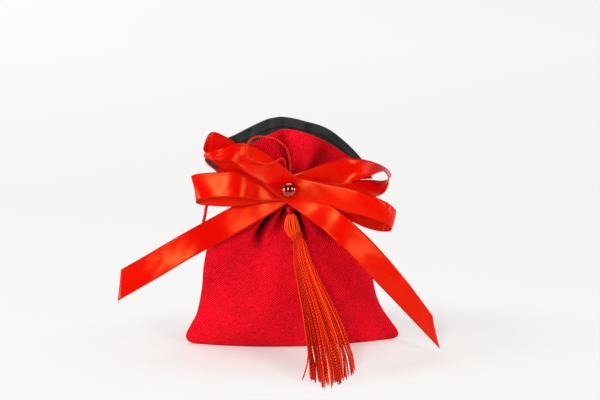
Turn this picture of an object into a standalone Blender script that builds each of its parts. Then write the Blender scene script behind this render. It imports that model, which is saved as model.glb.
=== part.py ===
# Favour bag: a filled cotton drawstring pouch with a black lining, a satin ribbon bow,
# a round bead and a silk tassel. X runs along the bag's width, +Y is its back, +Z is up,
# and the origin is the middle of the flat base. Lengths are in millimetres up to to_metres.
import math

import bpy
import numpy as np

# Pouch, below the neck: height, left edge, right edge, front, back
BODY_ROWS = (
    (0.0, -49.5, 50.0, -5.0, 15.0),
    (1.5, -52.4, 52.2, -8.0, 17.3),
    (4.5, -53.5, 52.0, -10.6, 19.2),
    (9.0, -51.8, 49.2, -12.9, 20.8),
    (15.0, -48.8, 45.2, -15.0, 22.0),
    (22.0, -46.6, 41.8, -16.4, 22.6),
    (30.0, -45.0, 39.5, -16.8, 22.2),
    (40.0, -43.7, 38.3, -16.0, 20.6),
    (50.0, -41.7, 34.4, -14.2, 18.0),
    (58.0, -38.0, 28.0, -11.8, 15.0),
    (65.0, -28.5, 21.5, -9.2, 12.4),
    (71.0, -18.5, 16.0, -7.2, 10.6),
)
BODY_RINGS = 18
BASE_POINT = 2.2          # how sharply the base closes at its corners
BODY_POINT = 1.0          # and how sharply the sides do, 1 is an ellipse
POINT_FADE = 26.0         # height where the corners have become round
POINT_SHARE = 0.8         # how much of the depth follows that sharpness

# Neck: gathered between two heights
NECK_LOW = 77.0
NECK_HEIGHT = 4.0
NECK_X = -0.2
NECK_Y = 2.1
NECK_HALF_WIDTH = 12.6
NECK_HALF_DEPTH = 7.0

# Mouth: outlines of the rim seen from the front, (x, z) from its left end to its right end,
# measured from the middle of the neck's upper end
RIM_FRONT = ((-40.8, 11.5), (-32.8, 15.2), (-24.8, 18.4), (-12.8, 24.4), (-4.3, 27.4),
             (5.2, 25.8), (15.2, 20.8), (25.0, 14.4), (33.2, 7.8), (38.2, 1.3))
RIM_BACK = ((-40.8, 11.5), (-35.2, 17.4), (-27.2, 21.8), (-13.5, 28.2), (-4.8, 29.9),
            (7.2, 27.4), (17.0, 24.0), (25.8, 17.6), (33.8, 9.2), (38.2, 1.3))
RIM_HALF_FRONT = 10.0
RIM_HALF_BACK = 9.4
RIM_ROUNDNESS = 0.6       # power of the rim's plan, 1 is an ellipse and less is fuller
COLLAR_LEVELS = (0.12, 0.26, 0.42, 0.6, 0.8, 1.0)   # shares of the way from neck to rim
COLLAR_SPREAD = 1.2       # power of the fanning out
RIM_STEP = 0.01           # share of the rim that its direction is read over

# Cloth
OUTER_WALL = 0.7
LINING_WALL = 0.5
CLEARANCE = 0.3           # between pieces that touch
PLEATS = 14
POINTS_PER_PLEAT = 5
NECK_PLEAT = 2.3          # depth of the gathers at the neck
RIM_PLEAT = 0.5
PLEAT_START = 16.0        # height where the gathers begin
PLEAT_GROWTH = 1.5        # power of their deepening towards the neck
PLEAT_FADE = 1.6          # power of their fading towards the rim
PLEAT_VALLEY = 1.4        # power that narrows the crests
PLEAT_SEAM = 0.35         # power that ends them at the side seams
PLEAT_PULL = 0.4          # share of a gather's depth that also pulls the sides in
DEEPEST = 0.88            # a gather's limit, as a share of the local half depth
FLOOR_OUTER = 0.2         # floor of the red mouth, as a share of its way up
FLOOR_LINING = 0.27
LEVEL_GAP = 0.1           # least distance of the next ring above those floors
LINING_RISE = 0.012       # the lining stands this much above the red rim at the back

# Drawstring
STRING_DIAMETER = 1.6
STRING_POINTS = 40
STRING_SPACING = 4.2
STRING_LOOP = ((-15.0, 2.0, 79.0), (-18.4, 1.3, 79.7), (-23.4, 0.0, 80.2), (-29.0, -1.3, 79.6),
               (-34.4, -2.3, 77.6), (-38.8, -2.9, 74.6), (-41.4, -3.1, 71.6), (-42.2, -3.3, 67.6),
               (-43.3, -3.5, 63.4), (-44.5, -3.8, 59.2), (-44.6, -4.4, 55.4), (-42.4, -5.2, 52.6),
               (-39.6, -6.4, 54.0), (-37.2, -7.6, 57.6), (-33.6, -9.1, 61.6), (-28.8, -9.9, 65.0),
               (-23.8, -9.7, 68.6), (-19.8, -8.3, 72.4), (-17.0, -5.6, 75.8), (-15.4, -2.8, 77.9),
               (-14.5, -0.8, 78.9))

# Ribbon: upper and lower edge of each station, from the left tail's end to the right tail's,
# measured from the front of the neck's upper end
RIBBON_WIDTH = 12.0
RIBBON_THICKNESS = 0.35
RIBBON_STEPS = 4
LEFT_TAIL = (
    ((-81.0, -13.2, -35.0), (-83.1, -13.2, -50.3)),
    ((-69.2, -12.2, -28.5), (-64.6, -12.2, -40.0)),
    ((-52.5, -10.4, -19.3), (-47.8, -10.6, -30.5)),
    ((-36.8, -8.0, -11.2), (-31.4, -8.4, -22.3)),
    ((-22.3, -5.4, -4.0), (-16.9, -5.6, -15.1)),
    ((-6.4, -4.4, 5.1), (-0.7, -4.4, -5.8)),
)
UPPER_RIGHT_LOOP = (
    ((4.2, -4.7, 8.3), (8.9, -4.9, -2.7)),
    ((14.4, -4.8, 12.1), (17.6, -6.6, 1.5)),
    ((24.2, -4.1, 14.0), (25.5, -10.4, 4.7)),
    ((34.2, -2.8, 12.4), (34.0, -12.4, 8.0)),
    ((42.4, -1.8, 8.9), (40.3, -12.6, 9.5)),
    ((45.4, -1.6, 4.8), (42.8, -12.4, 5.3)),
    ((41.5, -2.4, 2.0), (40.6, -12.2, -0.7)),
    ((32.4, -3.8, 2.0), (32.5, -11.2, -4.3)),
    ((19.4, -7.2, 1.5), (19.3, -8.8, -9.6)),
    ((7.9, -5.5, 4.2), (7.2, -5.8, -7.8)),
    ((-3.2, -5.1, 6.1), (-4.0, -5.1, -6.1)),
)
LOWER_LEFT_LOOP = (
    ((-15.3, -6.0, 5.6), (-15.9, -6.2, -6.5)),
    ((-28.2, -8.0, 4.9), (-28.4, -8.2, -7.2)),
    ((-39.6, -8.0, 5.1), (-39.4, -8.2, -6.6)),
    ((-45.5, -8.6, 6.0), (-44.0, -8.6, -5.8)),
    ((-47.5, -11.2, 8.1), (-45.6, -11.2, -4.1)),
    ((-44.8, -14.2, 9.9), (-43.3, -14.2, -2.1)),
    ((-37.1, -14.8, 10.7), (-36.9, -14.8, -1.1)),
    ((-26.3, -11.4, 9.9), (-26.5, -11.4, -2.1)),
    ((-15.3, -7.1, 7.3), (-15.9, -7.3, -5.0)),
    ((-2.8, -5.7, 6.0), (-4.2, -5.7, -6.0)),
)
LOWER_RIGHT_LOOP = (
    ((9.6, -6.7, 4.2), (7.3, -6.9, -7.7)),
    ((21.9, -9.6, 0.0), (19.7, -9.8, -11.9)),
    ((34.9, -10.8, -5.9), (33.2, -10.8, -18.0)),
    ((42.9, -10.8, -8.5), (41.2, -11.0, -19.8)),
    ((46.4, -13.7, -9.4), (43.8, -16.7, -17.4)),
    ((42.2, -16.2, -4.6), (40.9, -19.8, -13.7)),
    ((31.8, -15.8, 0.3), (30.2, -17.2, -10.3)),
    ((20.7, -12.2, 2.5), (18.5, -12.6, -8.7)),
    ((8.2, -7.9, 4.4), (5.4, -8.1, -7.3)),
    ((-1.9, -6.3, 7.4), (-7.0, -6.3, -3.5)),
)
UPPER_LEFT_LOOP = (
    ((-12.5, -7.2, 16.5), (-17.6, -8.2, 6.0)),
    ((-22.0, -6.8, 22.8), (-26.3, -9.0, 12.4)),
    ((-31.9, -6.0, 26.7), (-34.4, -8.0, 16.5)),
    ((-37.8, -6.4, 28.0), (-40.7, -8.2, 17.6)),
    ((-40.5, -9.0, 24.0), (-40.9, -10.8, 14.2)),
    ((-40.6, -12.4, 20.1), (-38.4, -14.6, 12.5)),
    ((-33.3, -14.8, 22.0), (-33.5, -16.8, 11.6)),
    ((-23.9, -14.8, 25.1), (-27.6, -16.2, 14.6)),
    ((-15.3, -12.2, 19.9), (-21.8, -13.0, 9.8)),
    ((-7.5, -8.6, 13.4), (-14.5, -9.6, 3.7)),
)
RIGHT_TAIL = (            # it starts with the top pass, which carries the bead
    ((0.1, -7.0, 6.3), (-7.1, -7.0, -3.8)),
    ((11.3, -9.0, -2.9), (3.7, -9.0, -11.6)),
    ((22.6, -13.0, -10.9), (14.8, -13.0, -19.8)),
    ((36.2, -13.6, -24.5), (27.5, -13.6, -32.6)),
    ((51.5, -11.8, -42.6), (42.7, -11.8, -49.7)),
    ((66.1, -8.8, -63.1), (70.2, -8.8, -80.5)),
)

# Bead
BEAD_DIAMETER = 8.0
BEAD_BORE = 1.0
BEAD_LIFT = 0.9           # the bead sits this much above the middle of the crossing
BEAD_BANDS = 12
BEAD_AROUND = 20

# Tassel: points down its middle, with the half width and half depth of its section,
# measured as the ribbon is
TASSEL_HEAD = (
    ((-1.7, -7.6, -11.6), 1.0, 1.0),
    ((-1.7, -7.8, -12.4), 2.2, 2.2),
    ((-1.7, -8.2, -14.4), 3.1, 3.0),
    ((-1.4, -8.8, -17.0), 3.5, 3.3),
    ((-0.4, -9.5, -19.8), 3.1, 3.0),
    ((0.6, -10.2, -21.6), 2.3, 2.3),
)
TASSEL_SKIRT = (
    ((1.2, -10.8, -23.2), 2.3, 2.3),
    ((1.8, -11.8, -25.4), 3.0, 2.6),
    ((3.0, -15.2, -32.0), 3.9, 2.7),
    ((6.0, -21.2, -42.0), 5.5, 2.7),
    ((9.2, -27.4, -51.5), 7.4, 2.6),
    ((11.4, -32.6, -59.3), 8.9, 2.5),
    ((12.9, -36.8, -65.4), 9.7, 2.4),
)
TASSEL_GROOVE = 0.55      # depth of the grooves between the locks
GROOVE_HALF_WIDTH = 3.0   # from this half width on, the grooves have their full depth
SIDE_GROOVE = 0.4         # share of the depth that they keep at the tassel's sides
SKIRT_ROUND = 0.9         # how round the skirt's flat section stays at its sides
LEAST_HALF = 0.25         # least half depth of a section
LOCK_TIPS = ((4.0, -41.3), (6.1, -40.2), (7.9, -45.3), (9.8, -49.9), (11.8, -47.7), (13.6, -49.3),
             (15.4, -46.7), (17.1, -45.3), (18.9, -42.5), (20.9, -40.1), (23.6, -35.5), (26.0, -30.7))
LOCK_TIP_HALF = 0.8
LOCK_RINGS = 4
LOCK_SHRINK = 0.94        # width that a lock keeps where it parts from the skirt
BINDING_HALF_HEIGHT = 1.1
BINDING_SEAT = 0.45       # how far the threads stand out of the bound section
BINDING_WALL = 0.5
BINDING_AROUND = 20
KNOT_CENTRE = (-3.0, -5.7, -9.5)
KNOT_SIZE = (1.5, 1.2, 1.7)
KNOT_SWELL = 0.12
KNOT_BANDS = 6
KNOT_AROUND = 12

# Tassel's hanging loop, from the knot up behind the ribbon and back
LOOP_DIAMETER = 1.0
LOOP_SPACING = 2.4
LOOP_ROUTE = ((-2.5, -9.2, 73.0), (-2.4, -8.3, 74.5), (-2.4, -7.9, 77.0), (-2.4, -7.8, 84.0),
              (-2.2, -7.9, 89.5), (-2.5, -8.4, 94.4), (-3.2, -8.8, 98.0), (-4.8, -9.3, 101.2),
              (-8.1, -10.3, 104.1), (-11.3, -12.3, 105.8), (-15.3, -15.7, 107.0), (-18.3, -19.1, 107.7),
              (-21.0, -21.9, 106.6), (-22.4, -23.1, 103.9), (-22.5, -23.3, 101.3), (-20.8, -22.1, 98.0),
              (-17.3, -19.9, 96.3), (-13.2, -17.7, 94.8), (-9.6, -15.9, 95.2), (-7.2, -13.5, 96.2),
              (-5.4, -10.7, 95.2), (-4.6, -8.8, 92.4), (-4.1, -7.9, 88.0), (-3.9, -7.8, 84.0),
              (-3.9, -7.9, 77.0), (-3.9, -8.3, 74.5), (-3.9, -9.2, 73.0))

NECK_HIGH = NECK_LOW + NECK_HEIGHT
NECK_FRONT = np.array([NECK_X, NECK_Y - NECK_HALF_DEPTH, NECK_HIGH])
RIBBON_STATIONS = (LEFT_TAIL + UPPER_RIGHT_LOOP + LOWER_LEFT_LOOP + LOWER_RIGHT_LOOP
                   + UPPER_LEFT_LOOP + RIGHT_TAIL)
TASSEL_ROWS = TASSEL_HEAD + TASSEL_SKIRT
TASSEL_LOCKS = len(LOCK_TIPS)
POINTS_ROUND = 2 * math.ceil(PLEATS * POINTS_PER_PLEAT / 2)


def smooth(points, share):
    """Point at a share from 0 to 1 of a smooth curve through evenly counted points."""
    points = np.asarray(points, float)
    last = len(points) - 1
    place = min(max(share, 0.0), 1.0) * last
    index = min(int(place), last - 1)
    part = place - index
    before = points[index - 1] if index > 0 else 2 * points[0] - points[1]
    after = points[index + 2] if index + 2 <= last else 2 * points[last] - points[last - 1]
    start, end = points[index], points[index + 1]
    return 0.5 * (2 * start + (end - before) * part
                  + (2 * before - 5 * start + 4 * end - after) * part ** 2
                  + (3 * start - before - 3 * end + after) * part ** 3)


def unit(vector):
    return vector / np.linalg.norm(vector)


def to_metres(points):
    return [tuple(float(value) * 0.001 for value in point) for point in points]


def material(name, colour, roughness, metallic=0.0):
    made = bpy.data.materials.new(name)
    made.use_nodes = True
    shader = made.node_tree.nodes["Principled BSDF"]
    shader.inputs["Base Color"].default_value = (*colour, 1.0)
    shader.inputs["Roughness"].default_value = roughness
    shader.inputs["Metallic"].default_value = metallic
    return made


def add_object(name, data, finish):
    made = bpy.data.objects.new(name, data)
    data.materials.append(finish)
    bpy.context.collection.objects.link(made)
    return made


def solid(name, points, faces, finish):
    """One closed mesh, with its faces turned outwards."""
    mesh = bpy.data.meshes.new(name)
    mesh.from_pydata(to_metres(points), [], faces)
    mesh.validate()
    corners = np.array([vertex.co[:] for vertex in mesh.vertices])
    mesh.calc_loop_triangles()
    volume = sum(np.dot(corners[a], np.cross(corners[b], corners[c]))
                 for a, b, c in (triangle.vertices for triangle in mesh.loop_triangles))
    if volume < 0:
        mesh.flip_normals()
    mesh.shade_smooth()
    mesh.set_sharp_from_angle(angle=math.radians(50))
    return add_object(name, mesh, finish)


def bridge(first, second):
    """Quads between two rings of vertex numbers."""
    count = len(first)
    return [(first[i], first[(i + 1) % count], second[(i + 1) % count], second[i]) for i in range(count)]


def zip_ring(ring):
    """Faces that close a ring by joining its front half to its back half."""
    count = len(ring)
    faces = []
    for i in range(count // 2):
        corners = (ring[i], ring[i + 1], ring[count - i - 1], ring[(count - i) % count])
        faces.append(tuple(dict.fromkeys(corners)))
    return faces


def zip_tassel(ring):
    """Faces that close the tassel's top between its front and back points."""
    count = len(ring)
    return [(ring[i], ring[i + 1], ring[count - i - 2], ring[count - i - 1]) for i in range(count // 2 - 1)]


def flipped(faces):
    return [face[::-1] for face in faces]


def stack_rings(rings):
    """Points of all rings, and the vertex numbers of each ring."""
    points = [point for ring in rings for point in ring]
    count = len(rings[0])
    numbers = [list(range(i * count, (i + 1) * count)) for i in range(len(rings))]
    return points, numbers


def lofted(name, rings, start, end, finish):
    """Solid through a stack of rings, closed by the faces that start and end give."""
    points, numbers = stack_rings(rings)
    faces = start(numbers[0]) + end(numbers[-1])
    for low, high in zip(numbers, numbers[1:]):
        faces += bridge(low, high)
    return solid(name, points, faces, finish)


def circle(centre, first, second, count):
    """Points round a centre, from two axes that hold the radii."""
    turns = [2 * math.pi * i / count for i in range(count)]
    return [centre + first * math.cos(turn) + second * math.sin(turn) for turn in turns]


def ring_angles():
    return [2 * math.pi * i / POINTS_ROUND for i in range(POINTS_ROUND)]


def pleat_wave(angle):
    """0 on the crest of a gather and 1 in its valley, and none at the side seams."""
    wave = 0.5 - 0.5 * math.cos(PLEATS * angle)
    return wave ** PLEAT_VALLEY * abs(math.sin(angle)) ** PLEAT_SEAM


def body_point(angle, row):
    height, left, right, front, back = row
    across, along = math.cos(angle), math.sin(angle)
    half = (NECK_Y - front) if along > 0 else (back - NECK_Y)
    fade = min(height / POINT_FADE, 1.0)
    power = BASE_POINT + (BODY_POINT - BASE_POINT) * fade
    gather = max(height - PLEAT_START, 0.0) / (NECK_LOW - PLEAT_START)
    depth = NECK_PLEAT * gather ** PLEAT_GROWTH * pleat_wave(angle)
    reach = half * (POINT_SHARE * abs(along) ** power + (1 - POINT_SHARE) * abs(along))
    x = (left + right) / 2 + ((right - left) - PLEAT_PULL * depth) / 2 * across
    return (x, NECK_Y - math.copysign(max(reach - depth, (1 - DEEPEST) * reach), along), height)


def neck_row(height):
    return (height, NECK_X - NECK_HALF_WIDTH, NECK_X + NECK_HALF_WIDTH,
            NECK_Y - NECK_HALF_DEPTH, NECK_Y + NECK_HALF_DEPTH)


def collar_point(angle, level, inset):
    """Point of the mouth: level 0 is the neck and 1 the rim, inset is measured into the wall."""
    across, along = math.cos(angle), math.sin(angle)
    outline = RIM_FRONT if along > 0 else RIM_BACK
    rim_half = RIM_HALF_FRONT if along > 0 else RIM_HALF_BACK
    turn = angle if angle <= math.pi else 2 * math.pi - angle
    share = 1 - turn / math.pi
    rim = smooth(outline, share)
    tangent = unit(smooth(outline, share + RIM_STEP) - smooth(outline, share - RIM_STEP))
    neck = np.array([NECK_HALF_WIDTH * across, 0.0])
    heading = unit(tangent * level + np.array([1.0, 0.0]) * (1 - level))
    flat = neck + (rim - neck) * level - heading * inset * across
    neck_reach = (NECK_HALF_DEPTH - inset) * abs(along)
    rim_reach = (rim_half - inset) * abs(along) ** RIM_ROUNDNESS
    reach = neck_reach + (rim_reach - neck_reach) * level ** COLLAR_SPREAD
    fade = max(1 - level, 0.0) ** PLEAT_FADE
    depth = (RIM_PLEAT + (NECK_PLEAT - RIM_PLEAT) * fade) * pleat_wave(angle)
    reach = max(reach - depth, (1 - DEEPEST) * reach)
    return (NECK_X + flat[0], NECK_Y - math.copysign(reach, along), NECK_HIGH + flat[1])


def collar_ring(level, inset, rise=0.0):
    return [collar_point(angle, level - rise * math.sin(angle), inset) for angle in ring_angles()]


def make_pouch(finish):
    """Filled pouch: solid up to the neck, with the open mouth above it."""
    rows = [*BODY_ROWS, neck_row(NECK_LOW), neck_row(NECK_HIGH)]
    rings = []
    for i in range(BODY_RINGS):
        row = smooth(rows, i / (BODY_RINGS - 1))
        rings.append([body_point(angle, row) for angle in ring_angles()])
    rings += [collar_ring(level, 0.0) for level in COLLAR_LEVELS]
    inner = [level for level in COLLAR_LEVELS if level > FLOOR_OUTER + LEVEL_GAP]
    for level in inner[::-1] + [FLOOR_LINING, FLOOR_OUTER]:
        rings.append(collar_ring(level, OUTER_WALL))
    return lofted("bag_outer", rings, lambda ring: flipped(zip_ring(ring)), zip_ring, finish)


def make_lining(finish):
    """Thin cup that lines the mouth."""
    outside = OUTER_WALL + CLEARANCE
    inside = outside + LINING_WALL
    levels = [level for level in COLLAR_LEVELS[:-1] if level > FLOOR_LINING + LEVEL_GAP]
    top = 1.0 - LINING_RISE
    rim_height = max(height for _, height in RIM_BACK)
    rings = [collar_ring(level, outside) for level in [FLOOR_LINING] + levels]
    rings += [collar_ring(top, wall, 2 * LINING_RISE) for wall in (outside, inside)]
    rings += [collar_ring(level, inside) for level in reversed(levels)]
    rings.append(collar_ring(FLOOR_LINING + LINING_WALL / rim_height, inside))
    return lofted("bag_lining", rings, lambda ring: flipped(zip_ring(ring)), zip_ring, finish)


def tube(name, points, diameter, finish, closed=False):
    """A cord as a curve with a round bevel and filled ends."""
    curve = bpy.data.curves.new(name, "CURVE")
    curve.dimensions = "3D"
    curve.bevel_depth = diameter / 2 * 0.001
    curve.bevel_resolution = 2
    curve.use_fill_caps = True
    line = curve.splines.new("POLY")
    line.points.add(len(points) - 1)
    for spot, point in zip(line.points, to_metres(points)):
        spot.co = (*point, 1.0)
    line.use_cyclic_u = closed
    return add_object(name, curve, finish)


def spaced(route, spacing):
    """Points at an even spacing on the smooth curve through a route."""
    samples = 600
    fine = np.array([smooth(route, i / samples) for i in range(samples + 1)])
    lengths = np.concatenate(([0.0], np.cumsum(np.linalg.norm(np.diff(fine, axis=0), axis=1))))
    count = int(lengths[-1] / spacing)
    return [tuple(fine[np.searchsorted(lengths, lengths[-1] * i / count).clip(0, samples)])
            for i in range(count + 1)]


def make_drawstring(finish):
    """The string's turn round the neck."""
    off = CLEARANCE + STRING_DIAMETER / 2
    centre = np.array([NECK_X, NECK_Y, NECK_LOW + NECK_HEIGHT / 2])
    points = circle(centre, np.array([NECK_HALF_WIDTH + off, 0.0, 0.0]),
                    np.array([0.0, -NECK_HALF_DEPTH - off, 0.0]), STRING_POINTS)
    return tube("drawstring", points, STRING_DIAMETER, finish, closed=True)


def make_ribbon(finish):
    """One ribbon: left tail, four loops crossing at the middle, right tail."""
    upper = np.array([station[0] for station in RIBBON_STATIONS]) + NECK_FRONT
    lower = np.array([station[1] for station in RIBBON_STATIONS]) + NECK_FRONT
    spans = lower - upper
    spans[1:-1] *= RIBBON_WIDTH / np.linalg.norm(spans[1:-1], axis=1)[:, None]
    count = (len(RIBBON_STATIONS) - 1) * RIBBON_STEPS
    middle = [smooth((upper + lower) / 2, i / count) for i in range(count + 1)]
    across = [smooth(spans, i / count) for i in range(count + 1)]
    sections = []
    for i in range(count + 1):
        heading = middle[min(i + 1, count)] - middle[max(i - 1, 0)]
        half = across[i] / 2
        if RIBBON_STEPS <= i <= count - RIBBON_STEPS:
            half = unit(half) * RIBBON_WIDTH / 2
        lift = unit(np.cross(heading, half)) * RIBBON_THICKNESS / 2
        sections.append([middle[i] - half - lift, middle[i] - half + lift,
                         middle[i] + half + lift, middle[i] + half - lift])
    return lofted("satin_bow", sections, lambda ring: [tuple(ring)[::-1]], lambda ring: [tuple(ring)], finish)


def make_bead(finish):
    """Round bead with a thread hole from side to side, on the ribbon's top pass."""
    upper, lower = (np.array(edge) for edge in RIGHT_TAIL[0])
    radius = BEAD_DIAMETER / 2
    centre = NECK_FRONT + (upper + lower) / 2
    centre = centre + np.array([0.0, -(RIBBON_THICKNESS / 2 + CLEARANCE + radius), BEAD_LIFT])
    start = math.asin(BEAD_BORE / 2 / radius)
    rings = []
    for i in range(BEAD_BANDS + 1):
        turn = start + (math.pi - 2 * start) * i / BEAD_BANDS
        out = radius * math.sin(turn)
        rings.append(circle(centre + np.array([radius * math.cos(turn), 0.0, 0.0]),
                            np.array([0.0, out, 0.0]), np.array([0.0, 0.0, out]), BEAD_AROUND))
    points, numbers = stack_rings(rings)
    faces = []
    for first, second in zip(numbers, numbers[1:] + numbers[:1]):
        faces += bridge(first, second)
    return solid("bead", points, faces, finish)


def tassel_axes(index):
    """Middle, sideways, forward and downward direction of a section of the tassel."""
    middles = np.array([row[0] for row in TASSEL_ROWS]) + NECK_FRONT
    down = unit(middles[min(index + 1, len(middles) - 1)] - middles[max(index - 1, 0)])
    sideways = unit(np.cross(np.array([0.0, -1.0, 0.0]), down))
    forward = np.cross(down, sideways)
    return middles[index], sideways, forward, down


def tassel_ring(index):
    """A section's points: front from left to right, then back from right to left."""
    middle, sideways, forward, _ = tassel_axes(index)
    _, half_width, half_depth = TASSEL_ROWS[index]
    steps = 2 * TASSEL_LOCKS
    flatness = max(0.0, (index - len(TASSEL_HEAD) + 1) / len(TASSEL_SKIRT))
    groove = TASSEL_GROOVE * min(1.0, half_width / GROOVE_HALF_WIDTH)
    front, back = [], []
    for step in range(steps + 1):
        turn = math.pi * (step + 0.5) / (steps + 1) - math.pi / 2
        even = -1 + 2 * step / steps
        x = math.sin(turn) * (1 - flatness) + even * flatness
        y = math.cos(turn) * (1 - flatness) + math.sqrt(1 - (SKIRT_ROUND * even) ** 2) * flatness
        dip = groove if step % 2 == 0 else 0.0
        reach = max(half_depth * y - dip * (SIDE_GROOVE + (1 - SIDE_GROOVE) * y), LEAST_HALF)
        front.append(middle + sideways * half_width * x + forward * reach)
        back.append(middle + sideways * half_width * x - forward * reach)
    return front + back[::-1]


def make_tassel(finish):
    """Thread bundle: folded head, bound neck, and a skirt that parts into locks."""
    rings = [tassel_ring(i) for i in range(len(TASSEL_ROWS))]
    points, numbers = stack_rings(rings)
    faces = flipped(zip_tassel(numbers[0]))
    for low, high in zip(numbers, numbers[1:]):
        faces += bridge(low, high)
    last = numbers[-1]
    _, sideways, forward, down = tassel_axes(len(TASSEL_ROWS) - 1)
    for lock, (tip_x, tip_y) in enumerate(LOCK_TIPS):
        front = last[2 * lock:2 * lock + 3]
        back = last[len(last) - 3 - 2 * lock:len(last) - 2 * lock]
        ring = front + back
        start = np.mean([points[number] for number in ring], axis=0)
        offsets = [points[number] - start for number in ring]
        tip = np.array([NECK_FRONT[0] + tip_x, NECK_FRONT[1] + tip_y, LOCK_TIP_HALF + CLEARANCE])
        bend = start + down * np.linalg.norm(tip - start) / 2
        half_width = max(abs(offset @ sideways) for offset in offsets)
        half_depth = max(abs(offset @ forward) for offset in offsets)
        for step in range(1, LOCK_RINGS + 1):
            share = step / LOCK_RINGS
            centre = start * (1 - share) ** 2 + 2 * bend * share * (1 - share) + tip * share ** 2
            wide = LOCK_SHRINK + (LOCK_TIP_HALF / half_width - LOCK_SHRINK) * share
            deep = LOCK_SHRINK + (LOCK_TIP_HALF / half_depth - LOCK_SHRINK) * share
            fresh = []
            for offset in offsets:
                fresh.append(len(points))
                points.append(centre + sideways * (offset @ sideways) * wide
                              + forward * (offset @ forward) * deep)
            faces += bridge(ring, fresh)
            ring = fresh
        faces.append(tuple(ring))
    return solid("tassel_threads", points, faces, finish)


def make_binding(finish):
    """Thread wound round the tassel's neck."""
    row = len(TASSEL_HEAD) - 1
    middle, sideways, forward, down = tassel_axes(row)
    inner = max(TASSEL_ROWS[row][1:]) + BINDING_SEAT + CLEARANCE
    outer = inner + BINDING_WALL
    crown = (inner + outer) / 2
    shoulder = BINDING_HALF_HEIGHT * 0.6
    section = ((inner, -shoulder), (inner, shoulder), (crown, BINDING_HALF_HEIGHT),
               (outer, shoulder), (outer, -shoulder), (crown, -BINDING_HALF_HEIGHT))
    rings = [circle(middle + down * along, sideways * radius, forward * radius, BINDING_AROUND)
             for radius, along in section]
    points, numbers = stack_rings(rings)
    faces = []
    for first, second in zip(numbers, numbers[1:] + numbers[:1]):
        faces += bridge(first, second)
    return solid("tassel_binding", points, faces, finish)


def make_knot(finish):
    """Small knot that closes the tassel's hanging loop."""
    half_x, half_y, half_z = KNOT_SIZE
    rings = []
    for i in range(1, KNOT_BANDS):
        turn = math.pi * i / KNOT_BANDS
        out = math.sin(turn) * (1 + KNOT_SWELL * math.sin(3 * turn))
        centre = NECK_FRONT + KNOT_CENTRE + np.array([0.0, 0.0, half_z * math.cos(turn)])
        rings.append(circle(centre, np.array([half_x * out, 0.0, 0.0]),
                            np.array([0.0, half_y * out, 0.0]), KNOT_AROUND))
    return lofted("tassel_knot", rings, lambda ring: [tuple(ring)[::-1]], lambda ring: [tuple(ring)], finish)


def main():
    for old in list(bpy.data.objects):
        bpy.data.objects.remove(old)
    cotton = material("red_cotton_twill", (0.70, 0.004, 0.013), 0.85)
    lining = material("black_lining", (0.013, 0.015, 0.014), 0.75)
    satin = material("orange_red_satin", (0.88, 0.012, 0.002), 0.38)
    string = material("red_drawstring", (0.56, 0.004, 0.008), 0.7)
    silk = material("orange_red_silk", (0.90, 0.035, 0.006), 0.45)
    pearl = material("dark_red_pearl", (0.16, 0.006, 0.008), 0.12, 0.9)
    make_pouch(cotton)
    make_lining(lining)
    make_drawstring(string)
    tube("drawstring_loop", spaced(STRING_LOOP, STRING_SPACING), STRING_DIAMETER, string)
    make_ribbon(satin)
    make_bead(pearl)
    make_tassel(silk)
    make_binding(silk)
    make_knot(silk)
    tube("tassel_loop", spaced(LOOP_ROUTE, LOOP_SPACING), LOOP_DIAMETER, silk)


main()
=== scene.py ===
# Favour bag as it stands filled: cotton twill pouch, black lining, satin bow, bead and silk tassel.
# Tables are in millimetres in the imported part's frame, and turn to metres where meshes are made.
import math

import bpy
import numpy as np
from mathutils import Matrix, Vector


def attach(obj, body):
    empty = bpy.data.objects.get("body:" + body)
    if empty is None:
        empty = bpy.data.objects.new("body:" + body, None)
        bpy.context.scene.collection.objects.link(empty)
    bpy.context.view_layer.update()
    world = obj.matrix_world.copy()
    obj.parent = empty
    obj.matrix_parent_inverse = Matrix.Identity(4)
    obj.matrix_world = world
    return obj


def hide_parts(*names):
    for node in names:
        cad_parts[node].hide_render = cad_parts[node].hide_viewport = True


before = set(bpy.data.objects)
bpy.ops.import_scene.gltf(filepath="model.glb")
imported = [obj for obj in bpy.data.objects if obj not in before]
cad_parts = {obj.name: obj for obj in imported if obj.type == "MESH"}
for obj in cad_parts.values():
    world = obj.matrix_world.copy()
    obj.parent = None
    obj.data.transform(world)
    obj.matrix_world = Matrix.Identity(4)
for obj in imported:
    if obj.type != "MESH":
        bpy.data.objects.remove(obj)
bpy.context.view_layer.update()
mm = 0.001
print("frame loaded:", len(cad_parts), "nodes")

cameraSettings = {
    "place": (-28.9, -478.6, 201.4),
    "heading": (0.0640, 0.9638, -0.2588),
    "lens": 62.52,
    "sensorWidth": 36.0,
}


def placeCamera(settings):
    camera = bpy.data.objects.new("camera", bpy.data.cameras.new("camera"))
    bpy.context.collection.objects.link(camera)
    camera.data.lens = settings["lens"]
    camera.data.sensor_width = settings["sensorWidth"]
    camera.data.clip_start = 0.01
    camera.location = Vector(settings["place"]) * mm
    camera.rotation_euler = Vector(settings["heading"]).to_track_quat("-Z", "Y").to_euler()
    bpy.context.scene.camera = camera


placeCamera(cameraSettings)


# Colours and nodes. A node's input takes a number, a hex colour, a socket, or another node's first output
def fromHex(code):
    parts = [int(code[i:i + 2], 16) / 255 for i in (0, 2, 4)]
    return (*[p / 12.92 if p <= 0.04045 else ((p + 0.055) / 1.055) ** 2.4 for p in parts], 1.0)


def feed(tree, node, inputs):
    named = dict(enumerate(inputs)) if isinstance(inputs, tuple) else inputs
    for slot, value in named.items():
        if isinstance(value, bpy.types.Node):
            value = value.outputs[0]
        if isinstance(value, bpy.types.NodeSocket):
            tree.links.new(value, node.inputs[slot])
        else:
            node.inputs[slot].default_value = fromHex(value) if isinstance(value, str) else value


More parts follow.
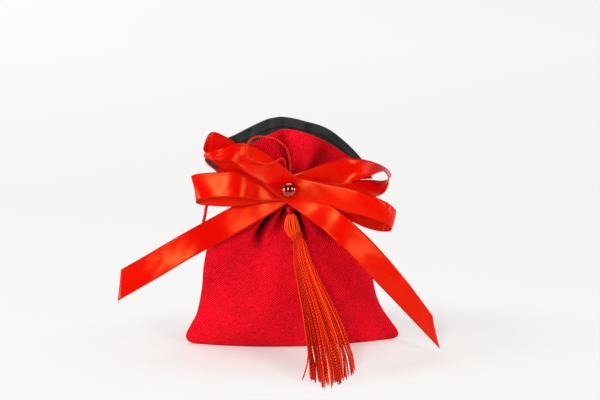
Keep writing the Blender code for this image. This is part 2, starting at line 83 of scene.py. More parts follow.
def addNode(tree, kind, inputs=(), operation=None, stops=(), **settings):
    made = tree.nodes.new("ShaderNode" + kind)
    if operation:
        made.operation = operation
    for name, value in settings.items():
        setattr(made, name, value)
    for number, (place, colour) in enumerate(stops):
        steps = made.color_ramp.elements
        step = steps[number] if number < 2 else steps.new(place)
        step.position = place
        step.color = fromHex(colour)
    feed(tree, made, inputs)
    return made


def newMaterial(name, **settings):
    made = bpy.data.materials.new(name)
    made.use_nodes = True
    tree = made.node_tree
    shader = tree.nodes["Principled BSDF"]
    feed(tree, shader, {socket.replace("_", " "): value for socket, value in settings.items()})
    return made, tree, shader


# The cloth map runs in metres: u along a strand or a ribbon and across a panel, v the other way
def clothMap(tree):
    cloth = addNode(tree, "UVMap", uv_map="cloth")
    return addNode(tree, "SeparateXYZ", (cloth,)).outputs[:2]


# Distance along the cloth, at an angle from u
def clothAlong(tree, u, v, angle):
    part = addNode(tree, "Math", (u, math.cos(angle)), "MULTIPLY")
    return addNode(tree, "Math", (v, math.sin(angle), part), "MULTIPLY_ADD")


# A wave with one crest to each thread
def threadWave(tree, place, pitch):
    turned = addNode(tree, "Math", (place, 2 * math.pi / pitch), "MULTIPLY")
    return addNode(tree, "Math", (turned,), "SINE")


# Fine fibres: noise drawn out along the cloth, so many times a metre, and one pitch wide
def drawnOut(tree, u, v, perMetre, pitch):
    along = addNode(tree, "Math", (u, perMetre), "MULTIPLY")
    across = addNode(tree, "Math", (v, 1 / pitch), "MULTIPLY")
    stretched = addNode(tree, "CombineXYZ", (along, across))
    return addNode(tree, "TexNoise", {"Vector": stretched, "Scale": 1.0, "Detail": 2.0})


# Cotton twill, piece-dyed crimson: raised diagonal ribs, matt, with a soft bloom and a few pale fibres, and
# painted shade in the gathers
twillSettings = {
    "ribPitch": 0.00092,       # rib spacing of a heavy drill, 0.92 mm
    "ribAngle": 38.0,
    "stitchPitch": 0.0011,     # length of one float along a rib
    "ribDepth": 0.00016,
    "ribTone": 0.30, "stitchTone": 0.12,       # how far ribs and floats move the colour
    "ribLight": "FF1C34",
    "ribDark": "A20008",
    "base": "E60016",
    "lint": "F0606A", "lintSize": 0.035, "lintShare": 0.7,
    "paintedGatherShade": "3C0004",    # painted shade at the bottom of the gathers
}


def makeTwill(settings):
    made, tree, shader = newMaterial("cottonTwillPieceDyed", Roughness=0.85, Specular_IOR_Level=0.06,
                                     Sheen_Weight=0.05, Sheen_Roughness=0.5, Sheen_Tint="FF4050")
    u, v = clothMap(tree)
    place = addNode(tree, "TexCoord").outputs["Object"]
    lean = math.radians(settings["ribAngle"])
    across = clothAlong(tree, u, v, lean + math.pi / 2)
    along = clothAlong(tree, u, v, lean)
    drift = addNode(tree, "TexNoise", {"Vector": place, "Scale": 260.0, "Detail": 1.0})
    across = addNode(tree, "Math", (drift, settings["ribPitch"] * 0.5, across), "MULTIPLY_ADD")
    rib = threadWave(tree, across, settings["ribPitch"])
    stitch = threadWave(tree, along, settings["stitchPitch"])
    speck = addNode(tree, "TexNoise", {"Vector": place, "Scale": 1200.0, "Detail": 2.0})
    weave = addNode(tree, "Math", (rib, settings["ribTone"], speck), "MULTIPLY_ADD")
    weave = addNode(tree, "Math", (stitch, settings["stitchTone"], weave), "MULTIPLY_ADD")
    colour = addNode(tree, "ValToRGB", (weave,), stops=(
        (0.1, settings["ribDark"]), (0.5, settings["base"]), (0.95, settings["ribLight"])))
    patch = addNode(tree, "TexNoise", {"Vector": place, "Scale": 45.0, "Detail": 3.0})
    shade = addNode(tree, "ValToRGB", (patch,), stops=((0.3, "E4E4E4"), (0.7, "FFFFFF")))
    dyed = addNode(tree, "Mix", {0: 1.0, 6: colour, 7: shade}, data_type="RGBA", blend_type="MULTIPLY")
    fibre = addNode(tree, "TexVoronoi", {"Vector": place, "Scale": 160.0, "Randomness": 1.0})
    lint = addNode(tree, "Math", (fibre, settings["lintSize"]), "LESS_THAN")
    lint = addNode(tree, "Math", (lint, settings["lintShare"]), "MULTIPLY")
    dusted = addNode(tree, "Mix", {0: lint, 6: dyed.outputs[2], 7: settings["lint"]}, data_type="RGBA")
    # Painted shade: the cloth turns darker where the gathers are deep, through the shade attribute
    gather = addNode(tree, "Attribute", attribute_name="shade").outputs["Fac"]
    deep = addNode(tree, "Mix", {0: gather, 6: dusted.outputs[2], 7: settings["paintedGatherShade"]},
                   data_type="RGBA")
    bump = addNode(tree, "Bump", {"Height": weave, "Distance": settings["ribDepth"], "Strength": 0.9})
    feed(tree, shader, {"Base Color": deep.outputs[2], "Normal": bump})
    return made


# Polyester lining, plain woven and dyed black: fine even grain with a faint cool sheen
blackClothSettings = {
    "threadPitch": 0.0006,     # 0.6 mm, drawn coarser than the real 0.3 mm so that it shows
    "threadDepth": 0.00006,
    "dark": "0A0C0B", "light": "212524",
}


def makeBlackCloth(settings):
    made, tree, shader = newMaterial("polyesterLiningWoven", Roughness=0.62, Specular_IOR_Level=0.35,
                                     Sheen_Weight=0.35, Sheen_Roughness=0.4, Sheen_Tint="9AA6A6")
    warp, weft = [threadWave(tree, place, settings["threadPitch"]) for place in clothMap(tree)]
    grid = addNode(tree, "Math", (warp, weft), "MULTIPLY")
    place = addNode(tree, "TexCoord").outputs["Object"]
    tone = addNode(tree, "TexNoise", {"Vector": place, "Scale": 70.0, "Detail": 3.0})
    tone = addNode(tree, "Math", (grid, 0.12, tone), "MULTIPLY_ADD")
    colour = addNode(tree, "ValToRGB", (tone,), stops=((0.3, settings["dark"]), (0.75, settings["light"])))
    bump = addNode(tree, "Bump", {"Height": grid, "Distance": settings["threadDepth"], "Strength": 0.6})
    feed(tree, shader, {"Base Color": colour, "Normal": bump})
    return made


# Polyester satin ribbon: long floats along its length, so that light spreads in bands across it. Both edges
# are darker, painted shade like that where the layers overlap
satinSettings = {
    "base": "DC0000",
    "deep": "CC0000",
    # painted shade along both edges of the ribbon
    "edgeShadeColour": "A80000",
    "floatPitch": 0.00035,     # 0.35 mm, coarser than the real floats so that a grain shows
    "floatsPerMetre": 180.0,
    "edge": 0.00045,           # width of the woven edge
    "halfWidth": 0.006,
}


def makeSatin(settings):
    made, tree, shader = newMaterial("polyesterSatinWoven", Roughness=0.26, Specular_IOR_Level=0.64,
                                     Specular_Tint="FF9448", Anisotropic=0.72, Anisotropic_Rotation=0.25)
    u, v = clothMap(tree)
    grain = drawnOut(tree, u, v, settings["floatsPerMetre"], settings["floatPitch"])
    colour = addNode(tree, "ValToRGB", (grain,), stops=((0.25, settings["deep"]), (0.75, settings["base"])))
    # Painted shade: a dark band along both edges, where overlapping layers shade each other
    off = addNode(tree, "Math", (v,), "ABSOLUTE")
    edge = addNode(tree, "Math", (off, settings["halfWidth"] - settings["edge"]), "GREATER_THAN")
    edge = addNode(tree, "Math", (edge, 0.7), "MULTIPLY")
    edgeShaded = addNode(tree, "Mix", {0: edge, 6: colour, 7: settings["edgeShadeColour"]}, data_type="RGBA")
    tangent = addNode(tree, "Tangent", direction_type="UV_MAP", uv_map="cloth")
    bump = addNode(tree, "Bump", {"Height": grain, "Distance": 0.00005, "Strength": 0.5})
    feed(tree, shader, {"Base Color": edgeShaded.outputs[2], "Tangent": tangent, "Normal": bump})
    return made


# Rayon thread and cotton cord, twisted from plies: fine fibres along each ply, bright on rayon, with painted
# light on the ply crests and painted shade in the grooves between them
threadSettings = {   # light, middle and deep colour, roughness, fibre pitch in metres
    "rayonThreadTwisted": ("FF5A1C", "F41004", "8A0000", 0.38, 0.00022),
    "rayonThreadBinding": ("F84028", "DC1410", "A80408", 0.45, 0.00022),
    "cottonCordTwisted": ("E82434", "C80A14", "900208", 0.6, 0.0003),
}


def makeThread(name, light, base, deep, roughness, fibrePitch):
    made, tree, shader = newMaterial(name, Roughness=roughness, Specular_IOR_Level=0.4,
                                     Specular_Tint="FF9050")
    fibre = drawnOut(tree, *clothMap(tree), 300.0, fibrePitch)
    # The shade attribute moves the colour: each thread's own tone, with painted light on ply crests and
    # painted shade in their grooves
    shade = addNode(tree, "Attribute", attribute_name="shade").outputs["Fac"]
    shade = addNode(tree, "Math", (shade, 0.6), "MULTIPLY")
    tone = addNode(tree, "Math", (fibre, 0.4, shade), "MULTIPLY_ADD")
    colour = addNode(tree, "ValToRGB", (tone,), stops=((0.2, deep), (0.5, base), (0.8, light)))
    bump = addNode(tree, "Bump", {"Height": fibre, "Distance": 0.00005, "Strength": 0.5})
    feed(tree, shader, {"Base Color": colour, "Normal": bump})
    return made


# Glass bead with a metallised dark red coat: mirror-like, each lamp shows in it
def makeMetallised():
    made, tree, shader = newMaterial("glassMetallisedRed", Metallic=1.0, Roughness=0.05, Coat_Weight=1.0,
                                     Coat_Roughness=0.02, Coat_IOR=1.5)
    place = addNode(tree, "TexCoord").outputs["Object"]
    cloud = addNode(tree, "TexNoise", {"Vector": place, "Scale": 600.0, "Detail": 2.0})
    colour = addNode(tree, "ValToRGB", (cloud,), stops=((0.3, "A6200C"), (0.7, "B82C12")))
    feed(tree, shader, {"Base Color": colour})
    return made


twill = makeTwill(twillSettings)
blackCloth = makeBlackCloth(blackClothSettings)
satin = makeSatin(satinSettings)
silk, silkRed, cordRed = [makeThread(name, *values) for name, values in threadSettings.items()]
beadCoat = makeMetallised()
print("materials made")


# Curves, frames along them, and meshes from grids of points
def smoothRows(rows, shares):
    rows = np.asarray(rows, float)
    last = len(rows) - 1
    place = np.clip(np.asarray(shares, float), 0, 1) * last
    index = np.minimum(place.astype(int), last - 1)
    part = (place - index)[:, None]
    before = np.where((index > 0)[:, None], rows[np.maximum(index - 1, 0)], 2 * rows[0] - rows[1])
    after = np.where((index + 2 <= last)[:, None], rows[np.minimum(index + 2, last)],
                     2 * rows[last] - rows[last - 1])
    start, end = rows[index], rows[index + 1]
    return 0.5 * (2 * start + (end - before) * part
                  + (2 * before - 5 * start + 4 * end - after) * part ** 2
                  + (3 * start - before - 3 * end + after) * part ** 3)


def unit(vectors):
    return vectors / np.maximum(np.linalg.norm(vectors, axis=-1, keepdims=True), 1e-12)


def runLengths(points):
    return np.concatenate(([0.0], np.cumsum(np.linalg.norm(np.diff(points, axis=0), axis=1))))


# Points at an even step on the smooth curve through a route
def evenly(route, step, samples=1200):
    fine = smoothRows(route, np.linspace(0, 1, samples))
    lengths = runLengths(fine)
    wanted = np.linspace(0, lengths[-1], max(int(lengths[-1] / step), 2) + 1)
    return np.column_stack([np.interp(wanted, lengths, fine[:, k]) for k in range(3)]), lengths[-1]


def framesAlong(points, closed=False):
    tangents = unit(np.gradient(points, axis=0))
    if closed:
        tangents = unit(np.roll(points, -1, axis=0) - np.roll(points, 1, axis=0))
    normal = unit(np.cross(tangents[0], (0.3, 0.2, 0.93)))
    normals = []
    for tangent in tangents:
        normal = unit(normal - tangent * np.dot(normal, tangent))
        normals.append(normal)
    normals = np.array(normals)
    return tangents, normals, np.cross(tangents, normals)


# Smooth random field, about -1 to 1, with features of a given size
def waviness(points, size, seed, count=14):
    dice = np.random.default_rng(seed)
    total = np.zeros(len(points))
    for _ in range(count):
        heading = dice.normal(size=points.shape[1])
        heading *= dice.uniform(0.6, 1.4) * 2 * math.pi / size / np.linalg.norm(heading)
        total += np.sin(points @ heading + dice.uniform(0, 2 * math.pi))
    return total / math.sqrt(count)


# Mesh piece from millimetre points, turned outwards, with its cloth map in metres
def makePiece(name, points, faces, material, uvs, shade=None):
    mesh = bpy.data.meshes.new(name)
    mesh.from_pydata((np.asarray(points) * mm).tolist(), [], faces)
    layer = mesh.uv_layers.new(name="cloth")
    layer.data.foreach_set("uv", (np.asarray(uvs, float) * mm).ravel())
    if shade is not None:
        attribute = mesh.attributes.new("shade", "FLOAT", "POINT")
        attribute.data.foreach_set("value", np.asarray(shade, float))
    mesh.calc_loop_triangles()
    index = np.empty(len(mesh.loop_triangles) * 3, dtype=np.int32)
    mesh.loop_triangles.foreach_get("vertices", index)
    first, second, third = np.asarray(points, float)[index.reshape(-1, 3).T]
    if np.einsum("ij,ij->i", first, np.cross(second, third)).sum() < 0:      # its volume
        mesh.flip_normals()
    mesh.shade_smooth()
    made = bpy.data.objects.new(name, mesh)
    mesh.materials.append(material)
    bpy.context.collection.objects.link(made)
    return made


# Quads of a grid of rings, as point numbers. A closed grid joins its last ring to its first
def gridFaces(rings, around, start=0, closed=False):
    rows = np.arange(rings if closed else rings - 1)[:, None]
    columns = np.arange(around)[None, :]
    here = start + rows * around
    there = start + (rows + 1) % rings * around
    right = (columns + 1) % around
    return np.stack([here + columns, here + right, there + right, there + columns], axis=-1).reshape(-1, 4)


# Faces and cloth map of a tube, from the lengths along it and the edges round it, first edge repeated
def tube(lengths, edges, lead=0, closed=False):
    rings = len(lengths) - closed
    around = len(edges) - 1
    uvs = np.empty((len(lengths) - 1, around, 4, 2))
    uvs[:, :, [0, 1], 0] = lengths[:-1, None, None]
    uvs[:, :, [2, 3], 0] = lengths[1:, None, None]
    uvs[:, :, [0, 3], 1] = edges[:-1, None]
    uvs[:, :, [1, 2], 1] = edges[1:, None]
    faces, uvs = gridFaces(rings, around, lead, closed).tolist(), uvs.reshape(-1, 2).tolist()
    if not closed:
        last = lead + (rings - 1) * around
        faces += [list(range(lead, lead + around))[::-1], list(range(last, last + around))]
        uvs += [[0.0, 0.0]] * (2 * around)
    return faces, uvs


# Strands: cords and threads of a few plies twisted together
strandSettings = {
    2: {"turns": (0, 50, 130, 180, 230, 310), "radii": (1.0, 0.74, 0.74, 1.0, 0.74, 0.74)},
    3: {"turns": (0, 32, 60, 88, 120, 152, 180, 208, 240, 272, 300, 328),
        "radii": (1.0, 0.93, 0.7, 0.93) * 3},
}


# One twisted strand: points, faces, cloth map, and how far each point stands up
def strand(points, radius, plies, pitch, lead, closed=False, phase=0.0):
    tangents, normals, sides = framesAlong(points, closed)
    turns = np.radians(strandSettings[plies]["turns"])
    radii = np.asarray(strandSettings[plies]["radii"])
    lengths = runLengths(points)
    whole = lengths[-1]
    gap = 0.0
    if closed:
        whole += np.linalg.norm(points[0] - points[-1])
        pitch = whole / round(whole / pitch)
        gap = math.atan2(np.dot(np.cross(normals[-1], normals[0]), tangents[0]),
                         np.dot(normals[-1], normals[0]))
    twist = 2 * math.pi * lengths / pitch + phase + gap * lengths / whole
    angle = twist[:, None] + turns[None, :]
    reach = np.broadcast_to(np.asarray(radius, float).reshape(-1, 1), (len(points), 1)) * radii[None, :]
    ring = (points[:, None, :] + (np.cos(angle) * reach)[:, :, None] * normals[:, None, :]
            + (np.sin(angle) * reach)[:, :, None] * sides[:, None, :])
    width = 2 * math.pi * float(np.mean(radius)) / len(turns)
    faces, uvs = tube(np.append(lengths, whole) if closed else lengths,
                      np.arange(len(turns) + 1) * width, lead, closed)
    crest = (radii - radii.min()) / (radii.max() - radii.min())
    return ring.reshape(-1, 3), faces, uvs, np.tile(crest, len(points))


# Several strands joined to one piece. Each is the arguments of strand, without lead
def bundle(name, strands, material, shades=None):
    points, faces, uvs, shade = [], [], [], []
    lead = 0
    for number, arguments in enumerate(strands):
        ring, quads, cloth, crest = strand(lead=lead, **arguments)
        points.append(ring)
        faces += quads
        uvs += cloth
        # Each point's shade is its thread's tone plus painted light on the ply crests and painted shade in
        # the grooves
        shade += ((0.5 if shades is None else shades[number]) + 0.8 * (crest - 0.4)).tolist()
        lead += len(ring)
    return makePiece(name, np.concatenate(points), faces, material, uvs, shade)


# Drawstring: one turn round the neck, and the pull loop that comes out at the left
stringSettings = {
    "diameter": 1.6, "plies": 3, "pitch": 5.2, "step": 0.45,
    "neckLow": 77.0, "neckHigh": 81.0, "neck": (-0.2, 2.1), "neckHalf": (12.6, 7.0), "clearance": 0.3,
    "loop": ((-15.0, 2.0, 79.0), (-18.4, 1.3, 79.7), (-23.4, 0.0, 80.2), (-29.0, -1.3, 79.6),
             (-34.4, -2.3, 77.6), (-38.8, -2.9, 74.6), (-41.4, -3.1, 71.6), (-42.2, -3.3, 67.6),
             (-43.3, -3.5, 63.4), (-44.5, -3.8, 59.2), (-44.6, -4.4, 55.4), (-42.4, -5.2, 52.6),
             (-39.6, -6.4, 54.0), (-37.2, -7.6, 57.6), (-33.6, -9.1, 61.6), (-28.8, -9.9, 65.0),
             (-23.8, -9.7, 68.6), (-19.8, -8.3, 72.4), (-17.0, -5.6, 75.8), (-15.4, -2.8, 77.9),
             (-14.5, -0.8, 78.9)),
}


def makeStrings(settings):
    radius = settings["diameter"] / 2
    off = settings["clearance"] + radius
    (neckX, neckY), (halfX, halfY) = settings["neck"], settings["neckHalf"]
    turns = np.linspace(0, 2 * math.pi, 180, endpoint=False)
    height = (settings["neckLow"] + settings["neckHigh"]) / 2
    ring = np.column_stack([neckX + (halfX + off) * np.cos(turns), neckY - (halfY + off) * np.sin(turns),
                            np.full(len(turns), height)])
    common = {"radius": radius, "plies": settings["plies"], "pitch": settings["pitch"]}
    neckString = bundle("neckString", [{"points": ring, "closed": True, **common}], cordRed)
    route, length = evenly(settings["loop"], settings["step"])
    stringLoop = bundle("stringLoop", [{"points": route, **common}], cordRed)
    for piece, node in ((neckString, "drawstring"), (stringLoop, "drawstring_loop")):
        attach(piece, "root")
        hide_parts(node)
    print("drawstring loop: %.1f mm" % length)


makeStrings(stringSettings)

# Tassel's hanging loop, two plies, from the knot up behind the ribbon and back
loopSettings = {
    "diameter": 1.0, "plies": 2, "pitch": 3.0, "step": 0.25,
    "route": ((-2.5, -9.2, 73.0), (-2.4, -8.3, 74.5), (-2.4, -7.9, 77.0), (-2.4, -7.8, 84.0),
              (-2.2, -7.9, 89.5), (-2.5, -8.4, 94.4), (-3.2, -8.8, 98.0), (-4.8, -9.3, 101.2),
              (-8.1, -10.3, 104.1), (-11.3, -12.3, 105.8), (-15.3, -15.7, 107.0), (-18.3, -19.1, 107.7),
              (-21.0, -21.9, 106.6), (-22.4, -23.1, 103.9), (-22.5, -23.3, 101.3), (-20.8, -22.1, 98.0),
              (-17.3, -19.9, 96.3), (-13.2, -17.7, 94.8), (-9.6, -15.9, 95.2), (-7.2, -13.5, 96.2),
              (-5.4, -10.7, 95.2), (-4.6, -8.8, 92.4), (-4.1, -7.9, 88.0), (-3.9, -7.8, 84.0),
              (-3.9, -7.9, 77.0), (-3.9, -8.3, 74.5), (-3.9, -9.2, 73.0)),
}


def makeTasselLoop(settings):
    route, length = evenly(settings["route"], settings["step"])
    piece = bundle("tasselLoop", [{"points": route, "radius": settings["diameter"] / 2,
                                   "plies": settings["plies"], "pitch": settings["pitch"]}], silk)
    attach(piece, "root")
    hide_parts("tassel_loop")
    print("tassel loop: %.1f mm" % length)


makeTasselLoop(loopSettings)

# Pouch: a filled body below the gathered neck and a fanned mouth above it
pouchSettings = {
    "rows": (   # height, left edge, right edge, front, back
        (0.0, -49.5, 50.0, -5.0, 15.0),
        (1.5, -52.4, 52.2, -8.0, 17.3),
        (4.5, -53.5, 52.0, -10.6, 19.2),
        (9.0, -51.8, 49.2, -12.9, 20.8),
        (15.0, -48.8, 45.2, -15.0, 22.0),
        (22.0, -46.6, 41.8, -16.4, 22.6),
        (30.0, -45.0, 39.5, -16.8, 22.2),
        (40.0, -43.7, 38.3, -16.0, 20.6),
        (50.0, -41.7, 34.4, -14.2, 18.0),
        (58.0, -38.0, 28.0, -11.8, 15.0),
        (65.0, -28.5, 21.5, -9.2, 12.4),
        (71.0, -18.5, 16.0, -7.2, 10.6),
    ),
    "neckLow": 77.0, "neckHigh": 81.0, "neckX": -0.2, "neckY": 2.1,
    "neckHalfWidth": 12.6, "neckHalfDepth": 7.0,
    "basePoint": 2.2, "bodyPoint": 1.0, "pointFade": 26.0,
    # rim seen from the front, (x, z) from left to right, from the middle of the neck's upper end
    "rimFront": ((-36.2, 5.2), (-31.6, 13.6), (-24.8, 18.4), (-12.8, 24.4), (-4.3, 27.4),
                 (5.2, 25.8), (15.2, 20.8), (25.0, 14.4), (33.2, 7.8), (38.2, 1.3)),
    "rimBack": ((-36.2, 5.2), (-42.0, 10.8), (-36.2, 18.0), (-27.2, 21.8), (-13.5, 28.2), (-4.8, 29.9),
                (7.2, 27.4), (17.0, 24.0), (25.8, 17.6), (33.8, 9.2), (38.2, 1.3)),
    "rimHalfFront": 10.0, "rimHalfBack": 9.4, "rimRoundness": 0.6, "spread": 1.2,
    "around": 464, "middleCloser": 0.4, "bodyRings": 130, "collarRings": 46,
    "wall": 0.7, "lip": 0.008, "panelWidth": 104.0,
    "floor": 0.27,             # how far up the mouth its inner wall ends
    "deepest": 0.72,           # deepest gather, as a share of the half depth there
    "darkDepth": 8.0,          # depth of a gather whose bottom gets the full painted shade
    "hollow": 0.16, "hollowEnd": 22.0,
    "foldEnd": 14.0,           # height over which a gather dies out
    "wrinkle": 0.30,           # depth of the fine wrinkles
    "wrinkles": ((30.0, 11, 1.8), (12.0, 12, 0.6)),       # size, seed and share of each kind
    "wrinkleFade": 14.0,       # height over which they fade at the base and at the neck
    "mouthWrinkle": 0.3, "mouthWrinkleSize": 9.0, "mouthSpan": (30, 26),
    "seam": 0.7, "seamWidth": 0.012, "seamFrom": 8,        # how far the side seams pull in
}

# Gathers: place at the neck, lower down and at the rim as a share of the half width, the height
# where they fade, depth at the neck in mm, width as a share, and depth left at the rim
frontFolds = (
    (-0.86, -0.82, 56.0, 1.8, 0.050, -0.84, 0.3),
    (-0.66, -0.66, 55.0, 2.6, 0.050, -0.62, 0.5),
    (-0.43, -0.35, 50.0, 9.0, 0.040, -0.48, 0.8),
    (-0.20, -0.10, 58.0, 7.5, 0.044, -0.23, 6.6),
    (0.05, 0.34, 53.0, 8.5, 0.044, 0.02, 0.3),
    (0.52, 0.60, 52.0, 8.5, 0.046, 0.47, 6.4),
    (0.70, 0.76, 56.0, 2.6, 0.050, 0.66, 1.6),
    (0.86, 0.88, 57.0, 1.8, 0.050, 0.84, 0.3),
)
backFolds = (
    (-0.82, -0.84, 50.0, 2.4, 0.055, -0.80, 0.4),
    (-0.60, -0.62, 42.0, 4.4, 0.060, -0.54, 0.9),
    (-0.36, -0.42, 34.0, 5.6, 0.065, -0.30, 1.3),
    (-0.12, -0.16, 40.0, 6.4, 0.060, -0.10, 0.8),
    (0.10, 0.12, 32.0, 5.6, 0.065, 0.12, 1.4),
    (0.33, 0.38, 42.0, 5.0, 0.060, 0.34, 0.9),
    (0.56, 0.62, 38.0, 4.6, 0.060, 0.56, 1.1),
    (0.79, 0.84, 48.0, 2.6, 0.055, 0.80, 0.4),
)

# Shape of a gather. Its widths are shares of its own width
foldSettings = {
    "steepness": 1.8,
    "shoulder": 0.14, "shoulderAt": 2.4, "shoulderWidth": 1.1,       # cloth stands up beside it
    "bend": 0.9, "widerBelow": 0.5,      # on its way down
    "rimBend": 1.3, "rimFade": 1.7, "widerAtRim": 3.4,
    "neckShare": 0.6, "rimLoss": 0.6,    # share of its depth left on the mouth
    "hollowWidth": 2.6,                  # of the shallow hollow below its sharp end
}


# Inward depth of the gathers at a share of the half width: by height below the neck, where the level is
# None, and by level on the mouth
def foldDepth(across, height, level, folds, settings):
    shape = foldSettings
    total = np.zeros_like(across)
    for neckAt, lowAt, lowHeight, deep, wide, rimAt, rimDeep in folds:
        if level is None:
            rise = np.clip((height - lowHeight) / (settings["neckLow"] - lowHeight), 0, 1)
            grown = np.clip((height - lowHeight) / settings["foldEnd"], 0, 1)
            at = neckAt + (lowAt - neckAt) * (1 - rise) ** shape["bend"]
            amount = deep * grown ** 2 * (3 - 2 * grown)
            width = wide * (1 + shape["widerBelow"] * (1 - rise))
        else:
            at = neckAt + (rimAt - neckAt) * min(level * shape["rimBend"], 1.0)
            left = (shape["neckShare"] * deep - rimDeep) * max(1 - level, 0.0) ** shape["rimFade"]
            amount = (rimDeep + left) * (1 - shape["rimLoss"] * level ** 2)
            width = wide * (1 + shape["widerAtRim"] * level)
        off = np.abs(across - at) / width
        shoulder = shape["shoulder"] * np.exp(-((off - shape["shoulderAt"]) / shape["shoulderWidth"]) ** 2)
        total += amount * (np.exp(-off ** shape["steepness"]) - shoulder)
        if level is None:
            fall = np.clip((height - settings["hollowEnd"]) / (lowHeight - settings["hollowEnd"]), 0, 1)
            hollow = settings["hollow"] * deep * fall * fall * (3 - 2 * fall)
            total += hollow * np.exp(-(off / shape["hollowWidth"]) ** 2)
    return total


# Angles round the pouch, closer together at the middle of the front and back
def turnsAround(settings):
    turns = np.linspace(0, 2 * math.pi, settings["around"], endpoint=False)
    return turns + settings["middleCloser"] * np.sin(2 * turns) / 2


# Gathers and wrinkles fade out at the side seams
def sideFade(across):
    return np.clip((1 - np.abs(across)) / 0.12, 0, 1) ** 0.7


def bodyRing(turns, row, settings):
    height, left, right, front, back = row
    across, along = np.cos(turns), np.sin(turns)
    half = np.where(along > 0, settings["neckY"] - front, back - settings["neckY"])
    fade = min(height / settings["pointFade"], 1.0)
    power = settings["basePoint"] + (settings["bodyPoint"] - settings["basePoint"]) * fade
    reach = half * (0.8 * np.abs(along) ** power + 0.2 * np.abs(along))
    depth = np.where(along > 0, foldDepth(across, height, None, frontFolds, settings),
                     foldDepth(across, height, None, backFolds, settings)) * sideFade(across)
    x = (left + right) / 2 + (right - left) / 2 * across
    reach = reach - np.minimum(depth, settings["deepest"] * reach)
    seamPull = settings["seam"] * np.exp(-((1 - np.abs(across)) / settings["seamWidth"]) ** 2)
    x = x - np.sign(across) * (seamPull * min(height / settings["seamFrom"], 1.0))
    # The fourth column is painted shade, taken from the depth of the gathers
    return np.column_stack([x, settings["neckY"] - np.sign(along) * reach, np.full(len(turns), height),
                            depth / settings["darkDepth"]])


# Ring of the mouth: level 0 is the neck and 1 the rim, and inset goes into the wall
def collarRing(turns, level, inset, settings, rise=0.0):
    across, along = np.cos(turns), np.sin(turns)
    levels = level - rise * (along - 0.6)
    shares = 1 - np.where(turns <= math.pi, turns, 2 * math.pi - turns) / math.pi
    step = 0.01
    wide, high = settings["mouthSpan"]
    result = np.empty((len(turns), 4))
    for side, outline, rimHalf, folds in ((1, "rimFront", "rimHalfFront", frontFolds),
                                          (-1, "rimBack", "rimHalfBack", backFolds)):
        chosen = (along > 0) if side > 0 else (along <= 0)
        c, a, lv, share = across[chosen], np.abs(along[chosen]), levels[chosen][:, None], shares[chosen]
        rim = smoothRows(settings[outline], share)
        tangent = unit(smoothRows(settings["rimFront"], share + step)
                       - smoothRows(settings["rimFront"], share - step))
        neck = np.column_stack([settings["neckHalfWidth"] * c, np.zeros(len(c))])
        heading = unit(tangent * lv + np.array([1.0, 0.0]) * (1 - lv))
        flat = neck + (rim - neck) * lv - heading * inset * c[:, None]
        lv = lv[:, 0]
        neckReach = (settings["neckHalfDepth"] - inset) * a
        rimReach = (settings[rimHalf] - inset) * a ** settings["rimRoundness"]
        reach = neckReach + (rimReach - neckReach) * np.maximum(lv, 0) ** settings["spread"]
        depth = foldDepth(c, None, level, folds, settings) * sideFade(c)
        field = waviness(np.column_stack([c * wide, lv * high]), settings["mouthWrinkleSize"], 5 + side)
        wrinkle = field * settings["mouthWrinkle"] * lv * sideFade(c)
        reach = reach - np.minimum(depth - wrinkle, settings["deepest"] * reach)
        # The fourth column is painted shade, taken from the depth of the gathers
        result[chosen] = np.column_stack([settings["neckX"] + flat[:, 0], settings["neckY"] - side * reach,
                                          settings["neckHigh"] + flat[:, 1], depth / settings["darkDepth"]])
    return result


# Cloth map of a stack of rings: width across each panel, and length up the cloth
def panelMap(rings, settings):
    count = rings.shape[1]
    half = count // 2
    wrapped = np.concatenate([rings, rings[:, :1]], axis=1)
    steps = np.linalg.norm(np.diff(wrapped, axis=1), axis=2)
    across = np.zeros((len(rings), count, 2))
    for panel in (slice(0, half), slice(half, count)):
        run = np.concatenate([np.zeros((len(rings), 1)), np.cumsum(steps[:, panel], axis=1)], axis=1)
        share = (1 - run / run[:, -1:]) * settings["panelWidth"]
        across[:, panel] = np.stack([share[:, :-1], share[:, 1:]], axis=-1)
    ups = np.concatenate([[0.0], np.cumsum(np.linalg.norm(np.diff(rings, axis=0), axis=2).mean(axis=1))])
    uvs = np.empty((len(rings) - 1, count, 4, 2))
    uvs[:, :, [0, 1], 0] = across[:-1]
    uvs[:, :, [3, 2], 0] = across[1:]
    uvs[:, :, [0, 1], 1] = ups[:-1, None, None]
    uvs[:, :, [2, 3], 1] = ups[1:, None, None]
    return uvs.reshape(-1, 2)


# Faces that close a ring, from its front half to its back half
def zipped(lead, count, flip):
    faces = []
    for i in range(count // 2):
        corners = (lead + i, lead + i + 1, lead + count - i - 1, lead + (count - i) % count)
        face = list(dict.fromkeys(corners))
        faces.append(face[::-1] if flip else face)
    return faces


def closedCup(name, rings, material, settings):
    rings = np.asarray(rings)
    # Painted shade of the gathers, which the twill's colour reads as the shade attribute
    shade = np.clip(rings[:, :, 3], 0, 1).ravel() ** 1.4
    rings = rings[:, :, :3]
    count = rings.shape[1]
    flat = rings.reshape(-1, 3)
    faces = gridFaces(len(rings), count).tolist()
    uvs = panelMap(rings, settings).tolist()
    for ends in (zipped(0, count, True), zipped((len(rings) - 1) * count, count, False)):
        faces += ends
        uvs += [flat[number][:2].tolist() for face in ends for number in face]
    return makePiece(name, flat, faces, material, uvs, shade)


